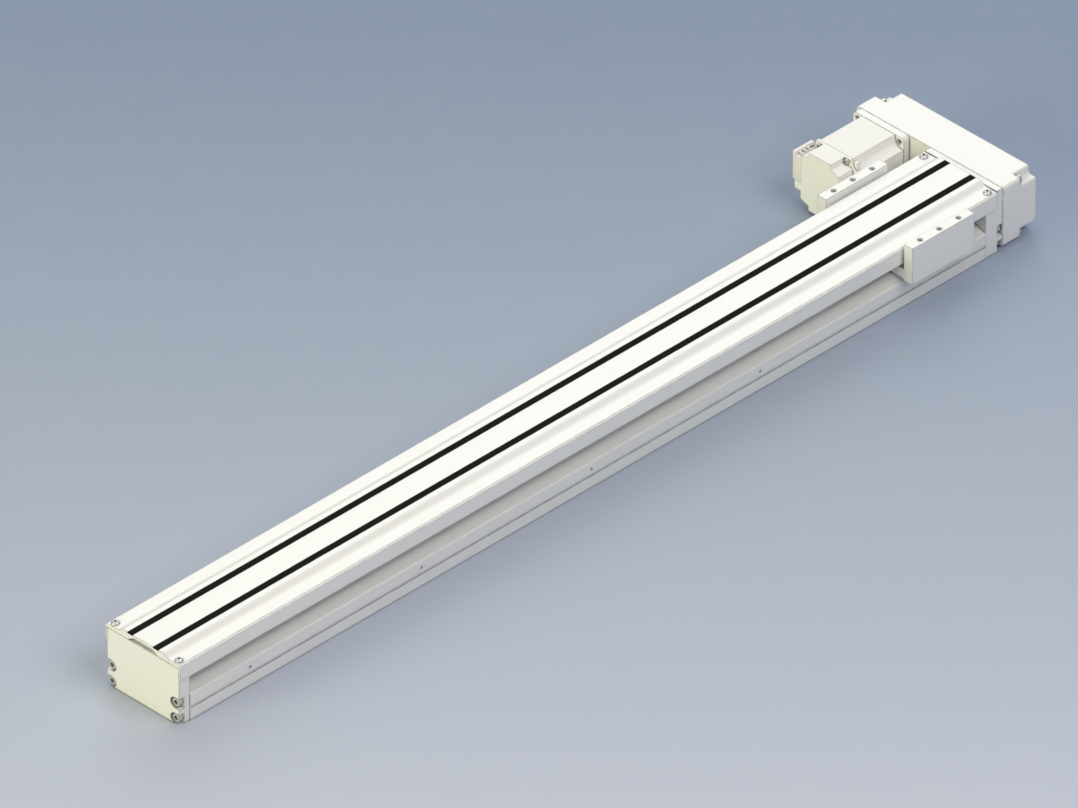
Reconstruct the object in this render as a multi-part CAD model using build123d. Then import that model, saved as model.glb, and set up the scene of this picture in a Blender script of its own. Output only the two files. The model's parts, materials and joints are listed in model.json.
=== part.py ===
from build123d import *
import math
import os

# Belt-driven linear module with a U-shaped steel rail, a ball screw and an aluminium cover.
# +X is the width, +Y is the long axis towards the drive end and +Z is up.
# The origin is the middle of the rail's bottom face. All sizes are millimetres.

# Rail
rail_length = 940.0
rail_width = 86.0
rail_height = 30.0
channel_width = 54.0
channel_floor = 9.5
channel_corner = 1.5
top_land_edge = 31.9
shoulder_drop = 4.05
top_round = 5.9
side_round = 2.0
rail_chamfer = 0.5
side_groove_low = 11.9
side_groove_high = 13.95
side_groove_depth = 0.6
raceway_low = 15.0
raceway_high = 25.0
base_hole_pitch = 200.0
base_hole_rows = 40.0
base_hole_count = 5
base_hole_d = 6.6
base_counterbore_depth = 6.2
side_hole_pitch = 200.0
side_hole_count = 5
side_hole_z = 18.9
side_hole_d = 2.5
side_hole_depth = 6.0
end_tap_depth = 20.0
end_tap_reach = 18.0

# End blocks
block_width = 85.0
block_height = 58.0
idle_block_thickness = 12.0
drive_block_thickness = 20.0
lip_thickness = 6.5
lip_rise = 4.5
block_chamfer = 0.5
notch_radius = 5.5
notch_depth = 6.0
corner_screw_x = 37.5
corner_screw_low = 5.2
corner_screw_high = 21.2

# Top cover and its two inlaid strips
cover_rise = 7.0
cover_flat_rise = 3.7
cover_skirt_drop = 12.2
cover_skirt_thickness = 1.4
cover_side_gap = 0.03
cover_edge_chamfer = 1.55
plateau_half = 22.5
shoulder_mid = (25.9, 5.67)
shoulder_foot = 31.4
vault_top_half = 10.5
vault_foot_half = 18.0
vault_rise = 4.0
cover_end_gap = 0.5
strip_inner = 11.75
strip_outer = 18.4
strip_depth = 1.0
strip_rib_pitch = 0.95
strip_valley = 0.43
cover_screw_x = 37.5
cover_screw_idle_inset = 5.0
cover_screw_drive_inset = 7.0
cover_screw_length = 12.0
cover_tap_depth = 10.0

# Ball screw, its bearings and its nut
screw_z = 22.0
screw_d = 15.0
idle_journal_d = 8.0
bearing_journal_d = 12.0
pulley_journal_d = 10.0
journal_setback = 0.5
shaft_tap_depth = 14.0
idle_bearing_od = 22.0
idle_bearing_width = 7.0
idle_inner_ring_d = 12.1
idle_shoulder_d = 11.0
drive_bearing_od = 28.0
drive_bearing_width = 8.0
drive_inner_ring_d = 17.0
drive_bearing_count = 2
block_bore_d = 19.0
retainer_size = 33.0
retainer_thickness = 5.0
retainer_bore_d = 24.0
retainer_pcd = 32.0
retainer_tap_depth = 10.0
retainer_screw_length = 8.0
lock_nut_flats = 19.0
lock_nut_thickness = 7.0

# Carriage
wing_length = 74.2
wing_end_inset = 27.5
wing_inner = 46.0
wing_outer = 56.0
wing_bottom = 30.0
wing_rise = 2.0
wing_foot_inset = 12.0
saddle_bottom = 31.8
saddle_thickness = 9.5
saddle_round = 1.0
wing_hole_x = 51.0
wing_hole_pitch = 23.0
wing_hole_count = 3
wing_hole_d = 5.0
wing_hole_depth = 14.0
nut_block_width = 48.8
nut_block_bottom = 11.0
nut_bore_d = 16.4
nut_block_chamfer = 0.8
ball_d = 6.35
ball_row_length = 62.0
ball_row_x = 25.7
end_cap_thickness = 10.0
end_cap_margin = 0.6
end_cap_round = 2.0
end_seal_thickness = 2.0
saddle_screw_x = 15.0
saddle_screw_y = 23.0
head_recess = 0.5
nut_tap_depth = 9.0
nut_tap_reach = 8.0
cap_screw_x = 17.0
cap_screw_z = 26.5
bumper_d = 8.0
bumper_length = 5.0
bumper_x = 16.0
bumper_z = 18.5

# Belt housing, on the far face of the drive end block
housing_right = 43.0
housing_left = -130.3
housing_bottom = 2.0
housing_depth = 40.0
housing_front_thickness = 21.0
housing_edge_round = 3.0
housing_front_chamfer = 0.6
right_notch_width = 8.7
right_notch_height = 8.2
left_notch_width = 13.4
left_notch_height = 10.3
notch_inner_round = 4.0
notch_outer_round = 2.0
cavity_radius = 17.2
cavity_floor = 5.0
cover_plate_rim = 2.2
cover_plate_thickness = 4.0
cover_plate_gap = 0.15
cover_plate_round = 1.5
plate_screw_inset = 7.0
plate_head_recess = 0.2
plate_tap_depth = 10.0
housing_screw_x = 38.3
housing_screw_drop = 4.3
housing_inner_screw_x = -37.6
housing_inner_screw_drop = 7.0
housing_tap_wall = 0.5

# Timing belt drive, one to one
belt_pitch = 5.0
pulley_teeth = 18
pitch_line_offset = 0.57
pulley_width = 18.0
pulley_gap_depth = 1.8
pulley_gap_share = (0.56, 0.36)
pulley_clearance = 1.0
belt_width = 12.0
belt_thickness = 1.7
belt_clearance = 0.3
pulley_washer_d = 18.0
pulley_washer_thickness = 1.5
pulley_bolt_length = 12.0

# Motor, beside the rail and parallel to it
motor_x = -97.0
motor_z = 32.25
motor_flange_size = 60.0
motor_flange_thickness = 7.0
motor_flange_round = 4.0
motor_hole_offset = 24.75
motor_hole_d = 5.04
motor_pilot_d = 50.0
motor_pilot_length = 3.0
motor_body_half = 29.7
motor_body_length = 50.5
motor_corner_top = 19.4
motor_corner_wall = (21.0, 23.5)
motor_corner_arc = (22.6, 21.0)
motor_corner_side = 18.6
motor_lug = (24.5, 27.0)
motor_lug_length = 4.0
motor_cap_base = 3.0
motor_cap_length = 17.1
motor_cap_half = 29.5
motor_cap_step_x = 13.0
motor_cap_step_z = 25.0
motor_cap_mid = (22.4, 21.6)
motor_cap_side_z = 13.8
motor_cap_screw = (16.3, 27.3)
motor_cap_round = 1.5
motor_tap_depth = 9.0
motor_tap_reach = 8.0
motor_screw_setback = 3.0
motor_shaft_d = 14.0
motor_shaft_bore_depth = 28.0
connector_left = 31.8
connector_right = 22.0
connector_low = -5.2
connector_high = 22.95
connector_wall = 3.1
connector_wall_length = 23.6
connector_shelf = 19.3
connector_round = 0.8
connector_seat_margin = 1.0
pin_count = 6
pin_width = 1.0
pin_height = 3.0
pin_pitch = (3.0, 4.8)

# Fits, and the number of sides of a screw's shank and head
running_fit = 0.05
seat_fit = 0.02
screw_fit = 0.02
counterbore_fit = 0.15
seat_gap = 0.3
cover_hole_fit = 0.2
shank_sides = 6
head_sides = 12

# Cap screws: shank diameter, head diameter, head height
M25 = (2.5, 4.5, 2.5)
M3 = (3.0, 5.5, 3.0)
M4 = (4.0, 7.0, 4.0)
M4_BUTTON = (4.0, 7.6, 2.2)
M5 = (5.0, 8.5, 5.0)
M6 = (6.0, 10.7, 6.0)

# Stations along the long axis
rail_end = rail_length / 2
idle_face = -rail_end - idle_block_thickness
drive_face = rail_end + drive_block_thickness
lip_start = drive_face - lip_thickness
housing_tap_start = lip_start + housing_tap_wall
housing_front = drive_face
housing_back = housing_front + housing_depth
housing_seat = housing_front + housing_front_thickness
cavity_front = housing_front + cavity_floor
cover_plate_front = housing_back - cover_plate_thickness
plate_head_seat = housing_back - M4_BUTTON[2] - plate_head_recess
cover_start = idle_face
cover_end = lip_start - cover_end_gap
idle_bearing_start = -rail_end - seat_gap - idle_bearing_width
idle_bearing_end = -rail_end - seat_gap
bearing_start = drive_face - drive_bearing_count * drive_bearing_width
lock_nut_end = drive_face + lock_nut_thickness
pulley_start = lock_nut_end + pulley_clearance
pulley_end = pulley_start + pulley_width
shaft_end = pulley_end - seat_gap
belt_start = (pulley_start + pulley_end - belt_width) / 2
belt_end = belt_start + belt_width
motor_flange_back = housing_front - motor_flange_thickness
motor_body_back = motor_flange_back - motor_body_length
motor_cap_step = motor_body_back - motor_cap_base
motor_rear = motor_cap_step - motor_cap_length
wing_y_high = rail_end - wing_end_inset
wing_y_low = wing_y_high - wing_length
wing_middle = wing_y_low + wing_length / 2
cap_y_low = wing_y_low - end_cap_thickness
cap_y_high = wing_y_high + end_cap_thickness

# Derived sizes
lip_height = block_height + lip_rise
cover_base_z = block_height
cover_top_z = block_height + cover_rise
cover_flat_z = block_height + cover_flat_rise
cover_skirt_bottom = block_height - cover_skirt_drop
vault_top_z = block_height + vault_rise
wing_top = cover_top_z + wing_rise
housing_top = lip_height
half_width = rail_width / 2
half_channel = channel_width / 2
half_block = block_width / 2
cover_half = half_block + cover_side_gap + cover_skirt_thickness
side_top_z = rail_height - shoulder_drop
ball_r = ball_d / 2
pitch_radius = belt_pitch * pulley_teeth / (2 * math.pi)
tip_radius = pitch_radius - pitch_line_offset
belt_inner_radius = tip_radius + belt_clearance
saddle_top = saddle_bottom + saddle_thickness
saddle_head_seat = saddle_top - M5[2] - head_recess


def section_plane(y):
    """Plane of a cross-section: its local x is +X and its local y is +Z."""
    return Plane(origin=(0, y, 0), x_dir=(1, 0, 0), z_dir=(0, -1, 0))


def run_along(sketch, y_start, y_end):
    """Solid of a cross-section between two stations on the long axis."""
    return extrude(section_plane(y_end) * sketch, amount=y_end - y_start)


def rod_along(x, z, diameter, y_start, y_end):
    """Round bar, or the tool for a round hole, along the long axis."""
    return run_along(Pos(x, z) * Circle(diameter / 2), y_start, y_end)


def rod_up(x, y, diameter, z_low, z_high):
    """Upright round bar, or the tool for an upright hole."""
    disc = Plane(origin=(x, y, z_low)) * Circle(diameter / 2)
    return extrude(disc, amount=z_high - z_low)


def area(points):
    """Face of the closed outline through the points."""
    return make_face(Polyline(*points, close=True))


def box_area(x_low, z_low, x_high, z_high):
    """Rectangle between two corners of a cross-section."""
    width = x_high - x_low
    height = z_high - z_low
    return Pos(x_low, z_low) * Rectangle(width, height, align=(Align.MIN, Align.MIN))


def nearest(shape, x, z):
    """The corner of a sketch that is nearest to a point."""
    return shape.vertices().sort_by_distance((x, z, 0))[0]


def both_sides(half):
    """A half outline joined with its mirror image about the centre plane."""
    return half + mirror(half, about=Plane.YZ)


def shank_area(size, margin=0.0):
    """Outline of a screw's shank, or of the hole around it.

    Shanks are six-sided and heads twelve-sided, because there are so many of them.
    """
    return RegularPolygon(size[0] / 2 + margin, shank_sides)


def head_area(size, margin=0.0):
    """Outline of a screw's head, or of the pocket around it."""
    return RegularPolygon(size[1] / 2 + margin, head_sides)


def screw_hole(size, x, z, y_start, y_end):
    """Tool for a screw's hole along the long axis."""
    return run_along(Pos(x, z) * shank_area(size, screw_fit), y_start, y_end)


def head_pocket(size, x, z, y_start, y_end):
    """Tool for the pocket around a screw's head along the long axis."""
    return run_along(Pos(x, z) * head_area(size, counterbore_fit), y_start, y_end)


def upright_prism(outline, x, y, z_low, z_high):
    """Upright prism of an outline, or the tool for an upright screw's hole."""
    return extrude(Plane(origin=(x, y, z_low)) * outline, amount=z_high - z_low)


def cap_screw(size, length):
    """Socket head screw along local z, with its head above 0 and its shank below."""
    return extrude(head_area(size), amount=size[2]) + extrude(shank_area(size), amount=-length)


def facing(x, y, z, towards):
    """Location whose local z points along an axis."""
    return Plane(origin=(x, y, z), z_dir=towards).location


def along_y(x, y, z, sign=1):
    """Location whose local z points along +Y, or along -Y for a sign of -1."""
    return Plane(origin=(x, y, z), x_dir=(1, 0, 0), z_dir=(0, sign, 0)).location


# Places that more than one piece shares
def grid(count, pitch):
    """Evenly spaced places about zero."""
    return [(n - (count - 1) / 2) * pitch for n in range(count)]


base_holes = [
    (x, y)
    for x in (-base_hole_rows / 2, base_hole_rows / 2)
    for y in grid(base_hole_count, base_hole_pitch)
]
side_holes = grid(side_hole_count, side_hole_pitch)
sides = (-1, 1)
corner_places = [
    (side * corner_screw_x, z) for side in sides for z in (corner_screw_low, corner_screw_high)
]
long_screw_place = (corner_screw_x, corner_screw_low)
drive_places = [place for place in corner_places if place != long_screw_place]
cover_screw_places = [
    (side * cover_screw_x, y)
    for side in sides
    for y in (idle_face + cover_screw_idle_inset, rail_end + cover_screw_drive_inset)
]
saddle_screw_places = [
    (x, wing_middle + y)
    for x in (-saddle_screw_x, saddle_screw_x)
    for y in (-saddle_screw_y, saddle_screw_y)
]
wing_holes = [wing_middle + y for y in grid(wing_hole_count, wing_hole_pitch)]
motor_corners = [(dx, dz) for dx in sides for dz in sides]
motor_screw_places = [
    (motor_x + dx * motor_hole_offset, motor_z + dz * motor_hole_offset)
    for dx, dz in motor_corners
]
retainer_angles = (45, 135, 225, 315)
retainer_places = [
    (
        retainer_pcd / 2 * math.cos(math.radians(angle)),
        screw_z + retainer_pcd / 2 * math.sin(math.radians(angle)),
    )
    for angle in retainer_angles
]
housing_screw_places = [
    (housing_screw_x, housing_top - housing_screw_drop),
    (housing_inner_screw_x, housing_top - housing_inner_screw_drop),
]
plate_middle_x = (housing_left + housing_right) / 2
cover_plate_places = [
    (housing_left + plate_screw_inset, motor_z),
    (housing_right - plate_screw_inset, motor_z),
    (plate_middle_x, housing_top - plate_screw_inset),
    (plate_middle_x, housing_bottom + plate_screw_inset),
]


# Rail
def rail_section():
    corner = (top_land_edge, rail_height)
    shoulder = (half_width, side_top_z)
    half = area([
        (0, 0),
        (half_width, 0),
        shoulder,
        corner,
        (half_channel, rail_height),
        (half_channel, channel_floor),
        (0, channel_floor),
    ])
    half = fillet(nearest(half, *corner), top_round)
    half = fillet(nearest(half, *shoulder), side_round)
    half = fillet(nearest(half, half_channel, channel_floor), channel_corner)
    half = chamfer(nearest(half, half_width, 0), rail_chamfer)
    half = chamfer(nearest(half, half_channel, rail_height), rail_chamfer)
    groove_back = half_width - side_groove_depth
    half -= box_area(groove_back, side_groove_low, half_width + 1, side_groove_high)
    for z in (raceway_low, raceway_high):
        half -= Pos(ball_row_x, z) * Circle(ball_r + running_fit)
    return both_sides(half)


def base_rail():
    rail = run_along(rail_section(), -rail_end, rail_end)
    counterbore_bottom = channel_floor - base_counterbore_depth
    for x, y in base_holes:
        rail -= rod_up(x, y, base_hole_d, 0, channel_floor)
        pocket = head_area(M6, counterbore_fit)
        rail -= upright_prism(pocket, x, y, counterbore_bottom, channel_floor)
    for side in sides:
        for y in side_holes:
            mouth = facing(side * half_width, y, side_hole_z, (-side, 0, 0))
            rail -= mouth * Cylinder(
                side_hole_d / 2, side_hole_depth, align=(Align.CENTER, Align.CENTER, Align.MIN)
            )
    for x, z in corner_places:
        drive_size = M4 if (x, z) == long_screw_place else M5
        rail -= screw_hole(M5, x, z, -rail_end, -rail_end + end_tap_depth)
        rail -= screw_hole(drive_size, x, z, rail_end - end_tap_depth, rail_end)
    return rail


# End blocks
def notch_section():
    """The side notches of an end block, each running out through the side face."""
    notches = Sketch()
    for x, z in corner_places:
        side = math.copysign(1, x)
        open_end = side * (half_block + 1)
        slot = box_area(min(x, open_end), z - notch_radius, max(x, open_end), z + notch_radius)
        notches += Pos(x, z) * Circle(notch_radius) + slot
    return notches


def block_blank(y_start, y_end, height):
    blank = run_along(box_area(-half_block, 0, half_block, height), y_start, y_end)
    return chamfer(blank.edges().filter_by(Axis.Y), block_chamfer)


def cover_screw_taps():
    """Tools for the tapped holes under the cover screws."""
    taps = Part()
    for x, y in cover_screw_places:
        tap = shank_area(M4, screw_fit)
        taps += upright_prism(tap, x, y, block_height - cover_tap_depth, block_height)
    return taps


def idle_end_block():
    block = block_blank(idle_face, -rail_end, block_height)
    block = chamfer(block.faces().sort_by(Axis.Y)[0].edges(), block_chamfer)
    block -= run_along(notch_section(), idle_face, idle_face + notch_depth)
    for x, z in corner_places:
        block -= screw_hole(M5, x, z, idle_face, -rail_end)
    block -= rod_along(
        0, screw_z, idle_bearing_od + 2 * seat_fit, idle_bearing_start, -rail_end
    )
    return block - cover_screw_taps()


def drive_end_block():
    block = block_blank(rail_end, drive_face, block_height)
    block += block_blank(lip_start, drive_face, lip_height)
    block -= run_along(notch_section(), drive_face - notch_depth, drive_face)
    for x, z in drive_places:
        block -= screw_hole(M5, x, z, rail_end, drive_face)
    block -= screw_hole(M4, *long_screw_place, rail_end, drive_face)
    block -= rod_along(0, screw_z, block_bore_d, rail_end, drive_face)
    block -= rod_along(
        0, screw_z, drive_bearing_od + 2 * seat_fit, bearing_start, drive_face
    )
    for x, z in retainer_places:
        block -= screw_hole(M25, x, z, drive_face - retainer_tap_depth, drive_face)
    for x, z in housing_screw_places:
        block -= screw_hole(M4, x, z, housing_tap_start, drive_face)
    return block - cover_screw_taps()


def end_block_screws(places, face, inward):
    """Cap screws in the side notches, with their tips in the rail's end face."""
    seat = face + inward * notch_depth
    rail_face = -inward * rail_end
    length = abs(rail_face - seat) + end_tap_reach
    screws = Part()
    for x, z in places:
        screws += along_y(x, seat, z, -inward) * cap_screw(M5, length)
    return screws


# Top cover
def cover_half_section():
    edge_top = (cover_half - cover_edge_chamfer, cover_flat_z)
    edge_side = (cover_half, cover_flat_z - cover_edge_chamfer)
    inner = cover_half - cover_skirt_thickness
    lower = Polyline(
        (0, cover_top_z),
        (0, vault_top_z),
        (vault_top_half, vault_top_z),
        (vault_foot_half, cover_base_z),
        (inner, cover_base_z),
        (inner, cover_skirt_bottom),
        (cover_half, cover_skirt_bottom),
        edge_side,
        edge_top,
        (shoulder_foot, cover_flat_z),
    )
    plateau = Line((0, cover_top_z), (plateau_half, cover_top_z))
    middle = (shoulder_mid[0], cover_base_z + shoulder_mid[1])
    crest = TangentArc((plateau_half, cover_top_z), middle, tangent=(1, 0))
    foot = TangentArc((shoulder_foot, cover_flat_z), middle, tangent=(-1, 0))
    half = make_face([lower, plateau, crest, foot])
    half -= box_area(strip_inner, cover_top_z - strip_depth, strip_outer, cover_top_z + 1)
    return half


def top_cover():
    cover = run_along(both_sides(cover_half_section()), cover_start, cover_end)
    for x, y in cover_screw_places:
        hole = shank_area(M4, cover_hole_fit)
        cover -= upright_prism(hole, x, y, cover_base_z, cover_top_z)
    return cover


def cover_strip(side):
    """Black inlay with fine ribs along the cover, flush with the plateau."""
    width = strip_outer - strip_inner - 2 * seat_fit
    rib_count = int(width // strip_rib_pitch)
    middle = (strip_inner + strip_outer) / 2
    bottom = cover_top_z - strip_depth
    strip = box_area(middle - width / 2, bottom, middle + width / 2, cover_top_z)
    for x in grid(rib_count, strip_rib_pitch):
        valley = Pos(middle + x, cover_top_z) * Rotation(0, 0, 45)
        strip -= valley * Rectangle(strip_valley, strip_valley)
    solid = run_along(strip, cover_start, cover_end)
    return solid if side > 0 else mirror(solid, about=Plane.YZ)


def cover_screws():
    screws = Part()
    for x, y in cover_screw_places:
        screws += Pos(x, y, cover_flat_z) * cap_screw(M4_BUTTON, cover_screw_length)
    return screws


# Ball screw line
def ball_screw():
    """Screw with its journals. The thread is too fine for this model."""
    shoulder = idle_bearing_end + seat_gap
    journal_start = idle_bearing_start + journal_setback
    screw = rod_along(0, screw_z, screw_d, shoulder, bearing_start)
    screw += rod_along(0, screw_z, idle_shoulder_d, idle_bearing_end, shoulder)
    screw += rod_along(0, screw_z, idle_journal_d, journal_start, idle_bearing_end)
    screw += rod_along(0, screw_z, bearing_journal_d, bearing_start, pulley_start)
    screw += rod_along(0, screw_z, pulley_journal_d, pulley_start, shaft_end)
    return screw - screw_hole(M4, 0, screw_z, shaft_end - shaft_tap_depth, shaft_end)


def tube_along(x, z, outer_d, inner_d, y_start, y_end):
    """Plain ring around an axis that runs along the module."""
    return rod_along(x, z, outer_d, y_start, y_end) - rod_along(x, z, inner_d, y_start, y_end)


def bearing_rings(idle_sizes, drive_sizes):
    """The same ring of the idle bearing and of each drive bearing, outer and inner diameter."""
    rings = tube_along(0, screw_z, *idle_sizes, idle_bearing_start, idle_bearing_end)
    for n in range(drive_bearing_count):
        start = bearing_start + n * drive_bearing_width
        rings += tube_along(0, screw_z, *drive_sizes, start, start + drive_bearing_width)
    return rings


def bearing_outer_rings():
    """Each reaches in to the inner ring, as the shield of a closed bearing does."""
    idle_bore = idle_inner_ring_d + 2 * running_fit
    drive_bore = drive_inner_ring_d + 2 * running_fit
    return bearing_rings((idle_bearing_od, idle_bore), (drive_bearing_od, drive_bore))


def bearing_inner_rings():
    idle_bore = idle_journal_d + 2 * seat_fit
    drive_bore = bearing_journal_d + 2 * seat_fit
    return bearing_rings((idle_inner_ring_d, idle_bore), (drive_inner_ring_d, drive_bore))


def bearing_retainer():
    """Square plate that clamps the outer rings against the drive end block."""
    plate_end = drive_face + retainer_thickness
    square = Pos(0, screw_z) * Rectangle(retainer_size, retainer_size)
    plate = run_along(square, drive_face, plate_end)
    plate -= rod_along(0, screw_z, retainer_bore_d, drive_face, plate_end)
    for x, z in retainer_places:
        plate -= screw_hole(M25, x, z, drive_face, plate_end)
        plate -= head_pocket(M25, x, z, plate_end - M25[2], plate_end)
    return plate


def retainer_screws():
    seat = drive_face + retainer_thickness - M25[2]
    screws = Part()
    for x, z in retainer_places:
        screws += along_y(x, seat, z) * cap_screw(M25, retainer_screw_length)
    return screws


def lock_nut():
    """Hexagon nut that draws the inner rings against the screw's shoulder."""
    hexagon = RegularPolygon(lock_nut_flats / 2, 6, major_radius=False)
    nut = run_along(Pos(0, screw_z) * hexagon, drive_face, lock_nut_end)
    return nut - rod_along(0, screw_z, bearing_journal_d + 2 * seat_fit, drive_face, lock_nut_end)


# Carriage
def nut_block():
    """Steel block that is both the slider and the nut of the ball screw."""
    half = nut_block_width / 2
    section = box_area(-half, nut_block_bottom, half, saddle_bottom)
    section = chamfer(section.vertices(), nut_block_chamfer)
    section -= Pos(0, screw_z) * Circle(nut_bore_d / 2)
    for side in sides:
        for z in (raceway_low, raceway_high):
            section -= Pos(side * ball_row_x, z) * Circle(ball_r + screw_fit)
    block = run_along(section, wing_y_low, wing_y_high)
    for x, y in saddle_screw_places:
        tap = shank_area(M5, screw_fit)
        block -= upright_prism(tap, x, y, saddle_bottom - nut_tap_depth, saddle_bottom)
    for x, y, z in end_screw_places():
        depth = math.copysign(nut_tap_depth, y - wing_middle)
        low, high = sorted((y, y - depth))
        block -= screw_hole(M3, x, z, low, high)
    return block


def end_screw_places():
    """Where the end caps' screws enter the two end faces of the nut block."""
    return [
        (side * cap_screw_x, y, cap_screw_z) for side in sides for y in (wing_y_low, wing_y_high)
    ]


def ball_rows():
    """The four loaded rows of balls, each as one bar that fills the balls' circle."""
    low = wing_middle - ball_row_length / 2
    high = wing_middle + ball_row_length / 2
    row = RegularPolygon(ball_r, head_sides)
    rows = Part()
    for side in sides:
        for z in (raceway_low, raceway_high):
            rows += run_along(Pos(side * ball_row_x, z) * row, low, high)
    return rows


def end_section(margin):
    half = nut_block_width / 2 + margin
    bottom = nut_block_bottom - margin
    section = box_area(-half, bottom, half, saddle_bottom - seat_gap)
    section = fillet(section.vertices(), end_cap_round)
    return section - Pos(0, screw_z) * Circle(nut_bore_d / 2)


def end_cap(y_start, y_end):
    cap = run_along(end_section(end_cap_margin), y_start, y_end)
    for side in sides:
        x = side * cap_screw_x
        cap -= screw_hole(M3, x, cap_screw_z, y_start, y_end)
        if y_start < wing_middle:
            cap -= head_pocket(M3, x, cap_screw_z, y_start, y_start + M3[2])
        else:
            cap -= head_pocket(M3, x, cap_screw_z, y_end - M3[2], y_end)
    return cap


def end_cap_screws():
    reach = end_cap_thickness - M3[2]
    screws = Part()
    for x, y, z in end_screw_places():
        outward = 1 if y > wing_middle else -1
        screws += along_y(x, y + outward * reach, z, outward) * cap_screw(M3, reach + nut_tap_reach)
    return screws


def end_seal(y_start):
    """Rubber wiper, a little wider than the cap that it covers."""
    margin = half_channel - nut_block_width / 2 - seat_gap
    section = end_section(min(margin, channel_corner))
    return run_along(section, y_start, y_start + end_seal_thickness)


def saddle_section():
    leg = box_area(wing_inner, wing_bottom, wing_outer, wing_top)
    foot_low = wing_bottom + (saddle_bottom - wing_bottom) / 2
    half = leg + area([
        (0, saddle_bottom),
        (wing_outer - wing_foot_inset, saddle_bottom),
        (wing_inner, foot_low),
        (wing_outer, foot_low),
        (wing_outer, saddle_top),
        (0, saddle_top),
    ])
    half = fillet(nearest(half, wing_inner, saddle_top), saddle_round)
    for corner in ((wing_outer, wing_top), (wing_inner, wing_top), (wing_outer, wing_bottom)):
        half = chamfer(nearest(half, *corner), saddle_round / 4)
    return both_sides(half)


def carriage_saddle():
    """U-shaped bracket that carries the load beside the cover."""
    saddle = run_along(saddle_section(), wing_y_low, wing_y_high)
    for side in sides:
        for y in wing_holes:
            hole_floor = wing_top - wing_hole_depth
            saddle -= rod_up(side * wing_hole_x, y, wing_hole_d, hole_floor, wing_top)
    for x, y in saddle_screw_places:
        hole = shank_area(M5, screw_fit)
        pocket = head_area(M5, counterbore_fit)
        saddle -= upright_prism(hole, x, y, saddle_bottom, saddle_top)
        saddle -= upright_prism(pocket, x, y, saddle_head_seat, saddle_top)
    return saddle


def saddle_screws():
    length = saddle_head_seat - saddle_bottom + nut_tap_reach
    screws = Part()
    for x, y in saddle_screw_places:
        screws += Pos(x, y, saddle_head_seat) * cap_screw(M5, length)
    return screws


def bumpers(face, inward):
    """Two rubber buttons on the inner face of an end block."""
    low, high = sorted((face, face + inward * bumper_length))
    buttons = Part()
    button = RegularPolygon(bumper_d / 2, head_sides)
    for side in sides:
        buttons += run_along(Pos(side * bumper_x, bumper_z) * button, low, high)
    return buttons


# Belt housing
def two_axis_outline(radius):
    """Outline around the motor axis and the screw axis at one radius from both."""
    at_screw = Pos(0, screw_z) * Circle(radius)
    at_motor = Pos(motor_x, motor_z) * Circle(radius)
    return make_face(make_hull(at_screw.edges() + at_motor.edges()))


def corner_boxes(inset):
    """The four corner notches of the housing, each widened by an inset."""
    right_x = housing_right - right_notch_width - inset
    left_x = housing_left + left_notch_width + inset
    right_low = housing_bottom + right_notch_height + inset
    right_high = housing_top - right_notch_height - inset
    left_low = housing_bottom + left_notch_height + inset
    left_high = housing_top - left_notch_height - inset
    return [
        box_area(right_x, housing_bottom, housing_right, right_low),
        box_area(right_x, right_high, housing_right, housing_top),
        box_area(housing_left, housing_bottom, left_x, left_low),
        box_area(housing_left, left_high, left_x, housing_top),
    ]


def stepped_outline(inset, inner_round, outer_round):
    """Housing outline without its corners, moved inwards by an inset."""
    outline = box_area(
        housing_left + inset,
        housing_bottom + inset,
        housing_right - inset,
        housing_top - inset,
    )
    boxes = corner_boxes(inset)
    for box in boxes:
        outline -= box
    middle_z = (housing_bottom + housing_top) / 2
    middle_x = (housing_left + housing_right) / 2
    for box in boxes:
        corner = min(
            box.vertices(), key=lambda v: abs(v.X - middle_x) + abs(v.Y - middle_z)
        )
        outline = fillet(nearest(outline, corner.X, corner.Y), inner_round)
    outer = [
        vertex
        for vertex in outline.vertices()
        if is_square_corner(outline, vertex)
    ]
    return fillet(outer, outer_round)


def is_square_corner(outline, vertex):
    """True where two straight edges of the outline meet."""
    straight = [
        edge
        for edge in outline.edges()
        if edge.geom_type == GeomType.LINE and edge.distance_to(vertex) < 0.001
    ]
    return len(straight) == 2


def belt_housing():
    front = box_area(housing_left, housing_bottom, housing_right, housing_top)
    front = fillet(front.vertices(), housing_edge_round)
    housing = run_along(front, housing_front, housing_seat)
    housing = chamfer(housing.faces().sort_by(Axis.Y)[0].edges(), housing_front_chamfer)
    rear = stepped_outline(0, notch_inner_round, notch_outer_round)
    housing += run_along(rear, housing_seat, housing_back)

    plate_pocket = stepped_outline(cover_plate_rim, cover_plate_round, cover_plate_round)
    housing -= run_along(plate_pocket, cover_plate_front, housing_back)
    housing -= run_along(two_axis_outline(cavity_radius), cavity_front, housing_back)
    retainer_room = retainer_size + 2 * counterbore_fit
    window = Pos(0, screw_z) * Rectangle(retainer_room, retainer_room)
    housing -= run_along(window, housing_front, cavity_front)
    housing -= rod_along(
        motor_x, motor_z, motor_pilot_d + 2 * seat_fit,
        housing_front, housing_front + motor_pilot_length + seat_gap,
    )
    housing -= rod_along(
        motor_x, motor_z, 2 * cavity_radius, housing_front, cavity_front
    )

    for x, z in motor_screw_places:
        housing -= screw_hole(M5, x, z, housing_front, housing_seat)
        housing -= rod_along(x, z, M5[1] + 2 * counterbore_fit, housing_seat, housing_back)
    for x, z in housing_screw_places + [long_screw_place]:
        housing -= screw_hole(M4, x, z, housing_front, housing_seat)
        housing -= rod_along(x, z, M4[1] + 2 * counterbore_fit, housing_seat, housing_back)
    plate_tap_end = cover_plate_front - plate_tap_depth
    for x, z in cover_plate_places:
        housing -= screw_hole(M4, x, z, plate_tap_end, housing_back)
    return housing


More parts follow.
